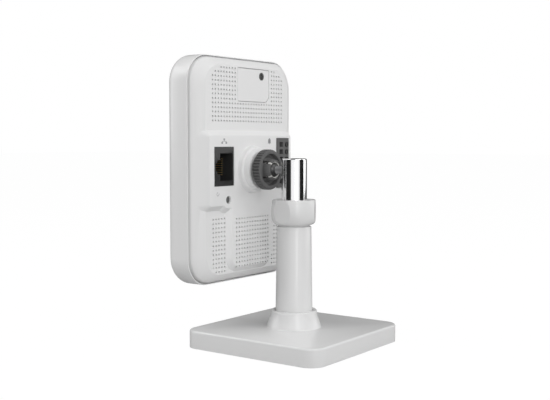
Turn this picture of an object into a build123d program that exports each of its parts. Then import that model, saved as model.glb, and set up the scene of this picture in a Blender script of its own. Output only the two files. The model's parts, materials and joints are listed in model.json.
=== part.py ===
from build123d import *
from math import cos, radians, sin, sqrt
import os

# Desk security camera: a flat camera head on a telescoping stand with a ball joint.
# +Z is up, the lens looks along -Y, and the origin is the middle of the base's underside.
# Depths in the head are measured forwards from the post's axis, so a depth of 30 is Y = -30.

os.makedirs("parts", exist_ok=True)

# ---- Driving dimensions, in millimetres -------------------------------------------------

# Base
base_side = 70.0
base_corner = 7.0
base_height = 8.2
base_wall = 2.2
base_lift = 0.4
pad_thick = 0.8
floor_thick = 1.4

# Flare around the column's foot
flare_foot_radius = 12.1
flare_rim_radius = 10.3
flare_top = 15.8

# Column, collar nut and post
column_foot_radius = 8.3
column_head_radius = 7.7
column_seat = 9.4
column_top = 53.2
column_bore = 5.95
spigot_radius = 7.1
spigot_top = 60.6
collar_bottom = 53.9
collar_top = 65.0
collar_radius = 10.3
collar_flat = 9.35
post_radius = 5.65
post_bottom = 23.2
post_top = 83.2
post_spigot_radius = 4.6
key_width = 2.0
key_reach = 6.6

# Ball joint
head_z = 78.0
ball_depth = 12.6
ball_radius = 3.7
liner_thick = 0.55
fit = 0.05
neck_radius = 1.7
stem_radius = 6.3
nut_radius = 9.1
nut_back = 16.7
nut_front = 12.6
rib_count = 40
rib_radius = 0.36

# Head
head_width = 74.4
head_height = 101.8
head_corner = 12.5
front_depth = 43.0
parting_depth = 30.0
panel_depth = 25.5
middle_depth = 23.3
shell_wall = 1.8
back_width = 72.6
back_height = 99.6
back_corner = 12.0
shoulder_start = 29.2
shoulder_steps = 7
shoulder_crowding = 3
shoulder_bulge = 0.7
shoulder_corner_loss = 2.0
raised_round = 0.8
panel_width = 61.2
panel_height = 93.0
lip_gap = 0.25

# Vents
vent_pitch = 1.96
vent_radius = 0.5

# Connectors and covers on the back, as (x, z) centres and (width, height) sizes
lan_centre = (20.25, 79.7)
lan_size = (13.6, 17.2)
alarm_centre = (-23.3, 80.55)
alarm_size = (9.4, 23.5)
alarm_pitch = 3.5
cover_centre = (-3.85, 116.4)
cover_size = (23.3, 14.8)
cover_cut = 2.4
cover_screw_place = (-10.0, 120.8)
reset_place = (17.4, 64.8)

# Front
lens_z = 97.0
light_z = 70.0
pir_z = 46.0
status_z = 60.5
mic_place = (9.0, 60.5)
bezel_radius = 15.0

# Main board
board_front = 38.1
board_back = 36.5
board_width = 62.0
board_height = 84.0

# ---- Planes and helpers -----------------------------------------------------------------

joint_plane = Plane(origin=(0, 0, head_z), x_dir=(0, -1, 0), z_dir=(-1, 0, 0))
joint_axis = Axis((0, 0, head_z), (0, -1, 0))
lens_plane = Plane(origin=(0, 0, lens_z), x_dir=(0, -1, 0), z_dir=(-1, 0, 0))
lens_axis = Axis((0, 0, lens_z), (0, -1, 0))


def at_depth(depth):
    """Upright plane at a depth, seen from behind turned round: its x is X and its y is Z."""
    return Plane.XZ.offset(depth)


def turned(plane, points):
    """Closed outline through (along, radius) points on a plane that holds the turning axis."""
    with BuildSketch(plane) as outline:
        with BuildLine():
            Polyline(*points, close=True)
        make_face()
    return outline.sketch


def upright_box(centre, size, near, far):
    """Block with (x, z) centre and (width, height) size, from one depth to a greater one."""
    block = Box(size[0], far - near, size[1], mode=Mode.PRIVATE)
    return Pos(centre[0], -(near + far) / 2, centre[1]) * block


def upright_disc(centre, radius, near, far):
    """Round block with an (x, z) centre, from one depth to a greater one."""
    block = Rot(90, 0, 0) * Cylinder(radius, far - near, mode=Mode.PRIVATE)
    return Pos(centre[0], -(near + far) / 2, centre[1]) * block


def finish(builder, name):
    """Label a finished sub-part and write it to its own file."""
    builder.part.label = name
    export_step(builder.part, f"parts/{name}.step")


# ---- Stand: base ------------------------------------------------------------------------

with BuildPart() as base_cover:
    with BuildSketch(Plane.XY.offset(base_lift)):
        RectangleRounded(base_side, base_side, base_corner)
    extrude(amount=base_height - base_lift)
    fillet(base_cover.edges().group_by(Axis.Z)[-1], 0.9)
    flare_outline = turned(Plane.XZ, [
        (0, base_height - 1.0),
        (flare_foot_radius + 0.9, base_height - 0.2),
        (flare_foot_radius, base_height + 0.5),
        (flare_foot_radius - 0.55, base_height + 2.2),
        (flare_rim_radius - 0.05, flare_top - 1.6),
        (flare_rim_radius, flare_top - 0.4),
        (flare_rim_radius - 0.4, flare_top),
        (0, flare_top),
    ])
    revolve(flare_outline, axis=Axis.Z)
    with BuildSketch(Plane.XY.offset(flare_top)):
        Circle(column_foot_radius + 0.15)
    extrude(amount=column_seat - flare_top, mode=Mode.SUBTRACT)
    with BuildSketch(Plane.XY):
        RectangleRounded(base_side - 2 * base_wall, base_side - 2 * base_wall, base_corner - base_wall)
    extrude(amount=base_height - 1.8, mode=Mode.SUBTRACT)
    with Locations((0, 0, 0)):
        Hole(2.2, depth=20)
finish(base_cover, "base_cover")

floor_side = base_side - 2 * base_wall - 0.3

with BuildPart() as base_floor:
    with BuildSketch(Plane.XY.offset(pad_thick)):
        RectangleRounded(floor_side, floor_side, base_corner - base_wall - 0.15)
    extrude(amount=floor_thick)
    with GridLocations(floor_side - 10, floor_side - 10, 2, 2):
        Hole(1.6, depth=10)
    with Locations((0, 0, 0)):
        Hole(5.5, depth=10)
finish(base_floor, "base_floor")

with BuildPart() as base_weight:
    with BuildSketch(Plane.XY.offset(pad_thick + floor_thick)):
        RectangleRounded(52, 52, 3)
        Circle(5.5, mode=Mode.SUBTRACT)
        with GridLocations(floor_side - 10, floor_side - 10, 2, 2):
            Circle(4.2, mode=Mode.SUBTRACT)
    extrude(amount=3.6)
finish(base_weight, "base_weight")

with BuildPart() as base_pad:
    with BuildSketch(Plane.XY):
        RectangleRounded(floor_side, floor_side, base_corner - base_wall - 0.15)
    extrude(amount=pad_thick)
finish(base_pad, "base_pad")

with BuildPart() as base_screws:
    with GridLocations(floor_side - 10, floor_side - 10, 2, 2):
        with Locations((0, 0, pad_thick)):
            Cylinder(1.3, 5.3, align=(Align.CENTER, Align.CENTER, Align.MIN))
finish(base_screws, "base_screws")

# ---- Stand: column, clamp bush and collar nut -------------------------------------------

with BuildPart() as column:
    revolve(turned(Plane.XZ, [
        (0, column_seat),
        (column_foot_radius, column_seat),
        (column_head_radius, column_top),
        (spigot_radius, column_top),
        (spigot_radius, spigot_top),
        (0, spigot_top),
    ]), axis=Axis.Z)
    with BuildSketch(Plane.XY.offset(column_seat + 5.0)):
        Circle(column_bore)
    extrude(amount=60, mode=Mode.SUBTRACT)
    with BuildSketch(Plane.XY.offset(column_seat + 5.0)):
        Rectangle(key_width + 0.2, 2 * (key_reach + 0.1))
    extrude(amount=38, mode=Mode.SUBTRACT)
    with Locations((0, 0, column_seat)):
        Hole(1.65, depth=8)
finish(column, "column")

with BuildPart() as column_screw:
    with Locations((0, 0, column_seat - 4.9)):
        Cylinder(4.0, 1.9, align=(Align.CENTER, Align.CENTER, Align.MIN))
        Cylinder(1.6, 8.6, align=(Align.CENTER, Align.CENTER, Align.MIN))
finish(column_screw, "column_screw")

with BuildPart() as clamp_bush:
    with BuildSketch(Plane.XY.offset(spigot_top)):
        Circle(6.8)
        Circle(post_radius + fit, mode=Mode.SUBTRACT)
    extrude(amount=2.5)
    with BuildSketch(Plane.XY.offset(spigot_top)):
        with Locations((0, 6.2)):
            Rectangle(1.0, 3.0)
    extrude(amount=2.5, mode=Mode.SUBTRACT)
finish(clamp_bush, "clamp_bush")

with BuildPart() as collar_nut:
    collar_mid = (collar_bottom + collar_top) / 2
    with BuildSketch(Plane.XZ):
        with BuildLine():
            Line((0, collar_bottom), (collar_radius - 2.5, collar_bottom))
            Spline((collar_radius - 2.5, collar_bottom), (collar_radius - 0.35, collar_bottom + 2.4),
                   (collar_radius, collar_mid), (collar_radius - 0.25, collar_top - 2.2),
                   (collar_radius - 1.1, collar_top))
            Line((collar_radius - 1.1, collar_top), (0, collar_top))
            Line((0, collar_top), (0, collar_bottom))
        make_face()
    revolve(axis=Axis.Z)
    for turn in (0, 120, 240):
        flat = Pos(collar_flat + 5, 0, collar_mid) * Box(10, 30, 20, mode=Mode.PRIVATE)
        add(Rot(0, 0, turn) * flat, mode=Mode.SUBTRACT)
    fillet(collar_nut.edges().group_by(Axis.Z)[-1], 0.4)
    revolve(turned(Plane.XZ, [
        (0, collar_bottom - 1),
        (spigot_radius + 0.08, collar_bottom - 1),
        (spigot_radius + 0.08, collar_top - 1.7),
        (post_radius + 0.45, collar_top - 1.7),
        (post_radius + 0.45, collar_top - 1.0),
        (collar_radius - 2.4, collar_top - 0.7),
        (collar_radius - 2.0, collar_top + 1),
        (0, collar_top + 1),
    ]), axis=Axis.Z, mode=Mode.SUBTRACT)
finish(collar_nut, "collar_nut")

# ---- Stand: sliding guide bush, post and ball stud --------------------------------------

with BuildPart() as guide_bush:
    with BuildSketch(Plane.XY.offset(post_bottom + 0.3)):
        Circle(column_bore - 0.06)
        Rectangle(key_width, 2 * key_reach)
        Circle(post_spigot_radius + 0.06, mode=Mode.SUBTRACT)
    extrude(amount=5.5)
finish(guide_bush, "guide_bush")

with BuildPart() as post:
    revolve(turned(Plane.XZ, [
        (0, post_bottom),
        (post_spigot_radius, post_bottom),
        (post_spigot_radius, post_bottom + 6.0),
        (post_radius, post_bottom + 6.0),
        (post_radius, post_top - 0.7),
        (post_radius - 0.25, post_top - 0.2),
        (post_radius - 0.8, post_top),
        (0, post_top),
    ]), axis=Axis.Z)
    with BuildSketch(Plane.XY.offset(post_bottom + 9.0)):
        Circle(4.2)
    extrude(amount=39, mode=Mode.SUBTRACT)
    with Locations((0, 0, post_bottom)):
        Hole(1.5, depth=12)
    add(upright_disc((0, head_z), 2.0, -2.5, post_radius + 1), mode=Mode.SUBTRACT)
finish(post, "post")

with BuildPart() as guide_screw:
    with Locations((0, 0, post_bottom)):
        Cylinder(5.2, 1.4, align=(Align.CENTER, Align.CENTER, Align.MAX))
        Cylinder(1.45, 7.5, align=(Align.CENTER, Align.CENTER, Align.MIN))
finish(guide_screw, "guide_screw")

with BuildPart() as ball_stud:
    with Locations((0, -ball_depth, head_z)):
        Sphere(ball_radius)
    revolve(turned(joint_plane, [
        (-2.4, 0),
        (-2.4, 1.95),
        (post_radius - 0.6, 1.95),
        (post_radius + 0.4, neck_radius + 0.3),
        (ball_depth - ball_radius, neck_radius),
        (ball_depth, neck_radius),
        (ball_depth, 0),
    ]), axis=joint_axis)
finish(ball_stud, "ball_stud")

# ---- Ball joint -------------------------------------------------------------------------

liner_inner = ball_radius + fit
liner_outer = liner_inner + liner_thick
socket_radius = liner_outer + fit


def ball_zone(start, stop):
    """Ring-shaped piece of the spherical liner between two angles from the stud's neck."""
    def spot(radius, angle):
        return (ball_depth - radius * cos(radians(angle)), radius * sin(radians(angle)))
    middle = (start + stop) / 2
    with BuildSketch(joint_plane) as zone:
        with BuildLine():
            ThreePointArc(spot(liner_inner, start), spot(liner_inner, middle), spot(liner_inner, stop))
            Line(spot(liner_inner, stop), spot(liner_outer, stop))
            ThreePointArc(spot(liner_outer, stop), spot(liner_outer, middle), spot(liner_outer, start))
            Line(spot(liner_outer, start), spot(liner_inner, start))
        make_face()
    return zone.sketch


with BuildPart() as ball_seat_rear:
    revolve(ball_zone(116, 172), axis=joint_axis)
finish(ball_seat_rear, "ball_seat_rear")

with BuildPart() as ball_seat_front:
    revolve(ball_zone(61, 84), axis=joint_axis)
finish(ball_seat_front, "ball_seat_front")

claw_tip = ball_depth - 2.3
claw_count = 4

tip_mouth = sqrt(socket_radius ** 2 - (ball_depth - claw_tip) ** 2)
flange_back = panel_depth + 1.7

with BuildPart() as socket_collet:
    with BuildSketch(joint_plane):
        with BuildLine():
            Polyline(
                (claw_tip, tip_mouth),
                (claw_tip, tip_mouth + 1.0),
                (ball_depth, 5.6),
                (ball_depth + 2.4, 5.6),
                (ball_depth + 3.2, stem_radius),
                (panel_depth - 0.3, stem_radius),
                (panel_depth - 0.3, 8.6),
                (flange_back, 8.6),
                (flange_back, 0),
                (ball_depth + socket_radius, 0),
            )
            ThreePointArc((ball_depth + socket_radius, 0), (ball_depth, socket_radius), (claw_tip, tip_mouth))
        make_face()
    revolve(axis=joint_axis)
    for index in range(claw_count):
        slot = Pos(0, 0, 5) * Box(1.3, 6.6, 10, mode=Mode.PRIVATE)
        slot = Rot(0, 45 + index * 360 / claw_count, 0) * slot
        add(Pos(0, -claw_tip - 3.0, head_z) * slot, mode=Mode.SUBTRACT)
finish(socket_collet, "socket_collet")

with BuildPart() as knurled_nut:
    revolve(turned(joint_plane, [
        (nut_back, stem_radius + 0.08),
        (nut_back, nut_radius - 0.5),
        (nut_back - 0.5, nut_radius),
        (nut_front + 0.7, nut_radius),
        (nut_front + 0.2, nut_radius - 0.3),
        (nut_front, nut_radius - 0.7),
        (nut_front, nut_radius - 1.9),
        (nut_front + 2.0, nut_radius - 2.2),
        (nut_front + 2.0, 5.75),
        (nut_front + 2.2, 5.75),
        (nut_front + 3.0, stem_radius + 0.08),
    ]), axis=joint_axis)
    for index in range(rib_count):
        angle = radians(index * 360 / rib_count)
        place = (nut_radius * cos(angle), head_z + nut_radius * sin(angle))
        add(upright_disc(place, rib_radius, nut_front + 1.0, nut_back + 0.5), mode=Mode.SUBTRACT)
finish(knurled_nut, "knurled_nut")

# ---- Head: front shell ------------------------------------------------------------------

board_screw_places = [(x, z) for x in (-27.0, 27.0) for z in (40.0, 117.0)]

with BuildPart() as front_shell:
    with BuildSketch(at_depth(parting_depth)):
        with Locations((0, head_z)):
            RectangleRounded(head_width, head_height, head_corner)
    extrude(amount=front_depth - parting_depth)
    fillet(front_shell.edges().group_by(Axis.Y)[0], 5.0)
    fillet(front_shell.edges().group_by(Axis.Y)[-1], 0.6)
    with BuildSketch(at_depth(parting_depth)):
        with Locations((0, head_z)):
            RectangleRounded(head_width - 4.0, head_height - 4.0, head_corner - 2.0)
    extrude(amount=8.5, mode=Mode.SUBTRACT)
    with BuildSketch(at_depth(parting_depth)):
        with Locations((0, head_z)):
            RectangleRounded(head_width - 7.0, head_height - 7.0, head_corner - 3.5)
    extrude(amount=front_depth - parting_depth - 2.0, mode=Mode.SUBTRACT)
    with BuildSketch(at_depth(parting_depth)):
        with Locations((0, head_z)):
            RectangleRounded(back_width + 2 * lip_gap, back_height + 2 * lip_gap, back_corner + lip_gap)
    extrude(amount=1.8, mode=Mode.SUBTRACT)
    for spot in board_screw_places:
        add(upright_disc(spot, 2.6, board_front, front_depth - 1.5))
        add(upright_disc(spot, 1.0, board_front, front_depth - 2.4), mode=Mode.SUBTRACT)
    add(upright_disc((0, lens_z), bezel_radius + 0.1, front_depth - 1.4, front_depth + 1), mode=Mode.SUBTRACT)
    add(upright_disc((0, lens_z), 10.0, front_depth - 3, front_depth), mode=Mode.SUBTRACT)
    add(upright_disc((0, pir_z), 8.2, front_depth - 3, front_depth + 1), mode=Mode.SUBTRACT)
    add(upright_disc((0, light_z), 4.1, front_depth - 3, front_depth + 1), mode=Mode.SUBTRACT)
    add(upright_disc((0, status_z), 1.3, front_depth - 3, front_depth + 1), mode=Mode.SUBTRACT)
    add(upright_disc(mic_place, 0.6, front_depth - 3, front_depth + 1), mode=Mode.SUBTRACT)
finish(front_shell, "front_shell")

# ---- Head: back shell -------------------------------------------------------------------

boss_foot_radius = 10.8
boss_step_depth = 21.1
boss_depth = 18.6
raised_start = 27.5
raised_slope = 45
raised_rise = raised_start - middle_depth


def raised(width, height, corner):
    """Rounded rectangle at the foot of a raised area, so that its face has the given size."""
    return RectangleRounded(width + 2 * raised_rise, height + 2 * raised_rise, corner + raised_rise)


with BuildPart() as back_shell:
    with BuildSketch(at_depth(parting_depth + 1.5)):
        with Locations((0, head_z)):
            RectangleRounded(back_width, back_height, back_corner)
    extrude(amount=-2.3)
    for step in range(shoulder_steps + 1):
        share = (step / shoulder_steps) ** shoulder_crowding
        inset_x = (back_width - panel_width) / 2 * share
        inset_z = (back_height - panel_height) / 2 * share
        depth = shoulder_start - (shoulder_start - panel_depth) * share ** shoulder_bulge
        corner = back_corner - shoulder_corner_loss * share
        with BuildSketch(at_depth(depth)):
            with Locations((0, head_z)):
                RectangleRounded(back_width - 2 * inset_x, back_height - 2 * inset_z, corner)
    loft(ruled=True)
    with BuildSketch(at_depth(raised_start)):
        with Locations((0, 77.9)):
            raised(60.4, 31.0, 1.0)
    extrude(amount=-raised_rise, taper=raised_slope)
    with BuildSketch(at_depth(raised_start)):
        with Locations((0, 50.0)):
            raised(30.0, 32.0, 5.5)
    extrude(amount=-raised_rise, taper=raised_slope)
    with BuildSketch(at_depth(raised_start)):
        with Locations((reset_place[0] - 1.2, reset_place[1])):
            raised(10.0, 7.6, 3.7)
    extrude(amount=-raised_rise, taper=raised_slope)
    raised_edges = [edge for edge in back_shell.edges() if abs(edge.center().Y + middle_depth) < 0.02]
    fillet(raised_edges, raised_round)
    revolve(turned(joint_plane, [
        (middle_depth + 1, 0),
        (middle_depth + 1, boss_foot_radius),
        (middle_depth, boss_foot_radius),
        (boss_step_depth + 0.4, boss_foot_radius - 0.3),
        (boss_step_depth, boss_foot_radius - 0.7),
        (boss_step_depth - 0.2, boss_foot_radius - 1.4),
        (boss_depth, boss_foot_radius - 2.2),
        (boss_depth, 0),
    ]), axis=joint_axis)
    fillet(back_shell.edges().group_by(Axis.Y)[-1], 0.5)
    # inside
    with BuildSketch(at_depth(parting_depth + 1.5)):
        with Locations((0, head_z)):
            RectangleRounded(back_width - 3.2, back_height - 3.2, back_corner - 1.6)
    extrude(amount=-2.6, mode=Mode.SUBTRACT)
    with BuildSketch(at_depth(parting_depth - 1.0)):
        with Locations((0, head_z)):
            RectangleRounded(back_width - 7.5, back_height - 6.0, back_corner - 3.0)
    with BuildSketch(at_depth(panel_depth + shell_wall)):
        with Locations((0, head_z)):
            RectangleRounded(panel_width - 3.0, panel_height - 3.0, back_corner - 3.5)
    loft(ruled=True, mode=Mode.SUBTRACT)
    with BuildSketch(at_depth(panel_depth + shell_wall)):
        with Locations((0, 78.5)):
            Rectangle(55.0, 26.0)
        with Locations((0, 50.0)):
            Rectangle(26.0, 29.0)
        with Locations((0, head_z)):
            Circle(9.6, mode=Mode.SUBTRACT)
    extrude(amount=-(panel_depth - middle_depth), mode=Mode.SUBTRACT)
    add(upright_disc((0, head_z), stem_radius + 0.02, boss_depth - 1, 30), mode=Mode.SUBTRACT)
    add(upright_disc((0, head_z), 8.7, panel_depth - 0.3, 30), mode=Mode.SUBTRACT)
    # openings for the connectors, the reset button and the card
    add(upright_box(lan_centre, (lan_size[0] + 0.2, lan_size[1] + 0.2), 20, 30), mode=Mode.SUBTRACT)
    add(upright_box(alarm_centre, (alarm_size[0] + 0.2, alarm_size[1] + 0.2), 20, 30), mode=Mode.SUBTRACT)
    add(upright_disc(reset_place, 2.9, middle_depth + 1.6, 29))
    add(upright_disc(reset_place, 1.75, 20, 30), mode=Mode.SUBTRACT)
    add(upright_box((-4.0, 115.8), (18.0, 10.0), 20, 30), mode=Mode.SUBTRACT)
    add(upright_disc(cover_screw_place, 2.6, panel_depth + 1.3, panel_depth + 3.4))
    with BuildSketch(at_depth(panel_depth - 1)):
        with Locations(cover_centre):
            RectangleRounded(cover_size[0] + 0.5, cover_size[1] + 0.5, 0.9)
    extrude(amount=2.3, mode=Mode.SUBTRACT)
    corner = (cover_centre[0] - cover_size[0] / 2 - 0.25, cover_centre[1] - cover_size[1] / 2 - 0.25)
    with BuildSketch(at_depth(panel_depth)):
        with BuildLine():
            Polyline(corner, (corner[0] + cover_cut, corner[1]), (corner[0], corner[1] + cover_cut), close=True)
        make_face()
    extrude(amount=1.5)
    add(upright_disc(cover_screw_place, 0.9, panel_depth + 1, panel_depth + 5), mode=Mode.SUBTRACT)
    # vents
    with BuildSketch(at_depth(20)):
        with Locations((0, 111.6)):
            with GridLocations(vent_pitch, vent_pitch, 27, 13):
                Circle(vent_radius)
        with Locations(cover_centre):
            Rectangle(cover_size[0] + 1.6, cover_size[1] + 1.6, mode=Mode.SUBTRACT)
        for side in (-1, 1):
            with Locations((side * 25.5, 123.4)):
                Rectangle(10.0, 1.0, mode=Mode.SUBTRACT)
            with Locations((side * 25.5, 121.4)):
                Rectangle(3.0, 1.0, mode=Mode.SUBTRACT)
    extrude(amount=9, mode=Mode.SUBTRACT)
    with BuildSketch(at_depth(20)):
        with Locations((0, 45.2)):
            with GridLocations(vent_pitch, vent_pitch, 13, 12):
                Circle(vent_radius)
    extrude(amount=9, mode=Mode.SUBTRACT)
    with BuildSketch(at_depth(20)):
        for side in (-1, 1):
            with Locations((side * 21.56, 44.6)):
                with GridLocations(vent_pitch, vent_pitch, 5, 13):
                    Circle(vent_radius)
            with Locations((side * 25.6, 33.0)):
                Rectangle(2.0, 3.5, mode=Mode.SUBTRACT)
    extrude(amount=9, mode=Mode.SUBTRACT)
finish(back_shell, "back_shell")

# ---- Head: card cover, screws and reset button ------------------------------------------

with BuildPart() as card_cover:
    with BuildSketch(at_depth(panel_depth + 0.05)):
        with Locations(cover_centre):
            RectangleRounded(cover_size[0], cover_size[1], 0.65)
    extrude(amount=1.15)
    corner = (cover_centre[0] - cover_size[0] / 2, cover_centre[1] - cover_size[1] / 2)
    with BuildSketch(at_depth(panel_depth - 1)):
        with BuildLine():
            Polyline(corner, (corner[0] + cover_cut, corner[1]), (corner[0], corner[1] + cover_cut), close=True)
        make_face()
    extrude(amount=3, mode=Mode.SUBTRACT)
    add(upright_disc(cover_screw_place, 1.85, panel_depth - 1, panel_depth + 0.75), mode=Mode.SUBTRACT)
    add(upright_disc(cover_screw_place, 1.0, panel_depth - 1, panel_depth + 3), mode=Mode.SUBTRACT)
finish(card_cover, "card_cover")

with BuildPart() as cover_screw:
    add(upright_disc(cover_screw_place, 1.7, panel_depth + 0.15, panel_depth + 0.75))
    add(upright_disc(cover_screw_place, 0.85, panel_depth + 0.75, panel_depth + 3.2))
    add(upright_box(cover_screw_place, (2.2, 0.45), panel_depth, panel_depth + 0.45), mode=Mode.SUBTRACT)
    add(upright_box(cover_screw_place, (0.45, 2.2), panel_depth, panel_depth + 0.45), mode=Mode.SUBTRACT)
finish(cover_screw, "cover_screw")

with BuildPart() as board_screws:
    for spot in board_screw_places:
        add(upright_disc(spot, 2.2, board_back - 1.2, board_back))
        add(upright_disc(spot, 0.95, board_back, front_depth - 2.6))
finish(board_screws, "board_screws")

reset_travel = 0.6

with BuildPart() as reset_button:
    add(upright_disc(reset_place, 1.65, middle_depth + 0.9, middle_depth + 5.0))
    add(upright_disc(reset_place, 1.1, middle_depth + 5.0, board_back - 3.6 - reset_travel))
finish(reset_button, "reset_button")

with BuildPart() as reset_switch:
    add(upright_box(reset_place, (6.0, 6.0), board_back - 3.0, board_back))
    add(upright_disc(reset_place, 1.7, board_back - 3.5, board_back - 3.0))
finish(reset_switch, "reset_switch")

# ---- Head: connectors -------------------------------------------------------------------

lan_right = lan_centre[0] - lan_size[0] / 2
lan_cavity = (8.55, 12.1)
lan_cavity_centre = (lan_right + 0.8 + lan_cavity[0] / 2, 79.4)
lan_face = middle_depth + 0.25
lan_bottom_of_cavity = lan_face + 12.0

with BuildPart() as lan_jack:
    add(upright_box(lan_centre, lan_size, lan_face, board_back))
    add(upright_box(lan_cavity_centre, lan_cavity, lan_face - 1, lan_bottom_of_cavity), mode=Mode.SUBTRACT)
    latch_x = lan_cavity_centre[0] + lan_cavity[0] / 2
    add(upright_box((latch_x + 0.9, 79.4), (2.0, 6.2), lan_face - 1, lan_face + 9.0), mode=Mode.SUBTRACT)
    add(upright_box((latch_x + 1.8, 79.4), (2.4, 3.6), lan_face - 1, lan_face + 9.0), mode=Mode.SUBTRACT)
finish(lan_jack, "lan_jack")

contact_start = 6.0
contact_pitch = 1.02

with BuildPart() as lan_contacts:
    for index in range(8):
        contact_z = lan_cavity_centre[1] + (index - 3.5) * contact_pitch
        add(upright_box((lan_right + 1.0, contact_z), (0.4, 0.45), lan_face + contact_start, lan_bottom_of_cavity))
finish(lan_contacts, "lan_contacts")

alarm_face = middle_depth - 0.5
alarm_rows = [alarm_centre[1] + (index - 2.5) * alarm_pitch for index in range(6)]

with BuildPart() as alarm_terminal:
    add(upright_box(alarm_centre, alarm_size, alarm_face, board_back))
    for row in alarm_rows:
        add(upright_box((alarm_centre[0] + 1.4, row), (2.8, 2.3), alarm_face - 1, alarm_face + 7), mode=Mode.SUBTRACT)
        add(upright_disc((alarm_centre[0] - 2.9, row), 1.25, alarm_face - 1, alarm_face + 3), mode=Mode.SUBTRACT)
finish(alarm_terminal, "alarm_terminal")

with BuildPart() as terminal_screws:
    for row in alarm_rows:
        screw_place = (alarm_centre[0] - 2.9, row)
        add(upright_disc(screw_place, 1.15, alarm_face - 0.4, alarm_face + 2.8))
        add(upright_box(screw_place, (0.4, 1.8), alarm_face - 1, alarm_face), mode=Mode.SUBTRACT)
finish(terminal_screws, "terminal_screws")

with BuildPart() as card_socket:
    add(upright_box((-5.0, 116.0), (13.0, 12.6), panel_depth + 3.3, board_back))
    add(upright_box((-3.5, 116.0), (14.0, 11.2), panel_depth + 4.0, panel_depth + 5.0), mode=Mode.SUBTRACT)
    add(upright_box(cover_screw_place, (5.8, 5.8), panel_depth + 1, panel_depth + 3.8), mode=Mode.SUBTRACT)
finish(card_socket, "card_socket")

with BuildPart() as memory_card:
    add(upright_box((-2.0, 116.0), (15.0, 11.0), panel_depth + 4.1, panel_depth + 4.85))
finish(memory_card, "memory_card")

# ---- Head: boards and electronics -------------------------------------------------------

with BuildPart() as main_board:
    add(upright_box((0, head_z), (board_width, board_height), board_back, board_front))
    add(upright_box((0, lens_z), (16.5, 16.5), board_back - 1, board_front + 1), mode=Mode.SUBTRACT)
    for spot in board_screw_places:
        add(upright_disc(spot, 1.1, board_back - 1, board_front + 1), mode=Mode.SUBTRACT)
finish(main_board, "main_board")

with BuildPart() as processor:
    add(upright_box((-6.0, 64.0), (14.0, 14.0), board_back - 1.2, board_back))
finish(processor, "processor")

with BuildPart() as heat_sink:
    add(upright_box((-6.0, 64.0), (18.0, 18.0), board_back - 2.4, board_back - 1.2))
    for index in range(6):
        fin_x = -6.0 + (index - 2.5) * 3.2
        add(upright_box((fin_x, 64.0), (1.1, 18.0), board_back - 6.6, board_back - 2.4))
finish(heat_sink, "heat_sink")

with BuildPart() as light_led:
    add(upright_box((0, light_z), (3.5, 3.5), board_front, board_front + 0.9))
finish(light_led, "light_led")

with BuildPart() as light_window:
    add(upright_disc((0, light_z), 4.0, front_depth - 2.2, front_depth - 0.1))
    add(upright_disc((0, light_z), 4.8, front_depth - 2.9, front_depth - 2.1))
finish(light_window, "light_window")

with BuildPart() as status_light_pipe:
    add(upright_disc((0, status_z), 1.2, board_front + 0.9, front_depth - 0.05))
finish(status_light_pipe, "status_light_pipe")

with BuildPart() as status_led:
    add(upright_box((0, status_z), (1.6, 1.0), board_front, board_front + 0.7))
finish(status_led, "status_led")

with BuildPart() as microphone:
    add(upright_disc(mic_place, 2.0, board_front, board_front + 1.6))
finish(microphone, "microphone")

with BuildPart() as motion_sensor:
    add(upright_disc((0, pir_z), 4.1, board_front, board_front + 2.6))
    add(upright_disc((0, pir_z), 4.6, board_front, board_front + 0.5))
    add(upright_box((0, pir_z), (4.0, 3.0), board_front + 2.4, board_front + 3), mode=Mode.SUBTRACT)
finish(motion_sensor, "motion_sensor")

dome_reach = 3.4
dome_radius = 8.0
dome_wall = 0.8
dome_curve = (dome_radius ** 2 + dome_reach ** 2) / (2 * dome_reach)
dome_middle = front_depth + dome_reach - dome_curve
motion_plane = Plane(origin=(0, 0, pir_z), x_dir=(0, -1, 0), z_dir=(-1, 0, 0))
motion_axis = Axis((0, 0, pir_z), (0, -1, 0))


def on_dome(curve, radius):
    """Point on a dome surface with the given curve radius, at a radius from its axis."""
    return (dome_middle + sqrt(curve ** 2 - radius ** 2), radius)


with BuildPart() as motion_lens:
    inner_curve = dome_curve - dome_wall
    skirt = dome_radius - dome_wall
    with BuildSketch(motion_plane):
        with BuildLine():
            ThreePointArc(on_dome(dome_curve, 0), on_dome(dome_curve, 4.0), on_dome(dome_curve, dome_radius))
            Polyline(
                on_dome(dome_curve, dome_radius),
                (front_depth - 2.1, dome_radius),
                (front_depth - 2.1, dome_radius + 1.2),
                (front_depth - 2.7, dome_radius + 1.2),
                (front_depth - 2.7, skirt),
                on_dome(inner_curve, skirt),
            )
            ThreePointArc(on_dome(inner_curve, skirt), on_dome(inner_curve, 4.0), on_dome(inner_curve, 0))
            Line(on_dome(inner_curve, 0), on_dome(dome_curve, 0))
        make_face()
    revolve(axis=motion_axis)
finish(motion_lens, "motion_lens")

speaker_place = (8.0, 45.0)

with BuildPart() as speaker_frame:
    add(upright_disc(speaker_place, 10.0, board_back - 4.2, board_back))
    add(upright_disc(speaker_place, 8.8, board_back - 5.0, board_back - 2.6), mode=Mode.SUBTRACT)
finish(speaker_frame, "speaker_frame")

with BuildPart() as speaker_cone:
    add(upright_disc(speaker_place, 8.6, board_back - 3.1, board_back - 2.6))
    add(upright_disc(speaker_place, 4.0, board_back - 3.8, board_back - 3.1))
finish(speaker_cone, "speaker_cone")

# ---- Head: lens -------------------------------------------------------------------------

with BuildPart() as lens_bezel:
    revolve(turned(lens_plane, [
        (front_depth - 1.3, 8.6),
        (front_depth - 1.3, bezel_radius),
        (front_depth + 0.2, bezel_radius),
        (front_depth + 0.7, bezel_radius - 0.8),
        (front_depth + 0.2, 9.6),
        (front_depth - 0.6, 8.6),
    ]), axis=lens_axis)
finish(lens_bezel, "lens_bezel")

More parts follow.
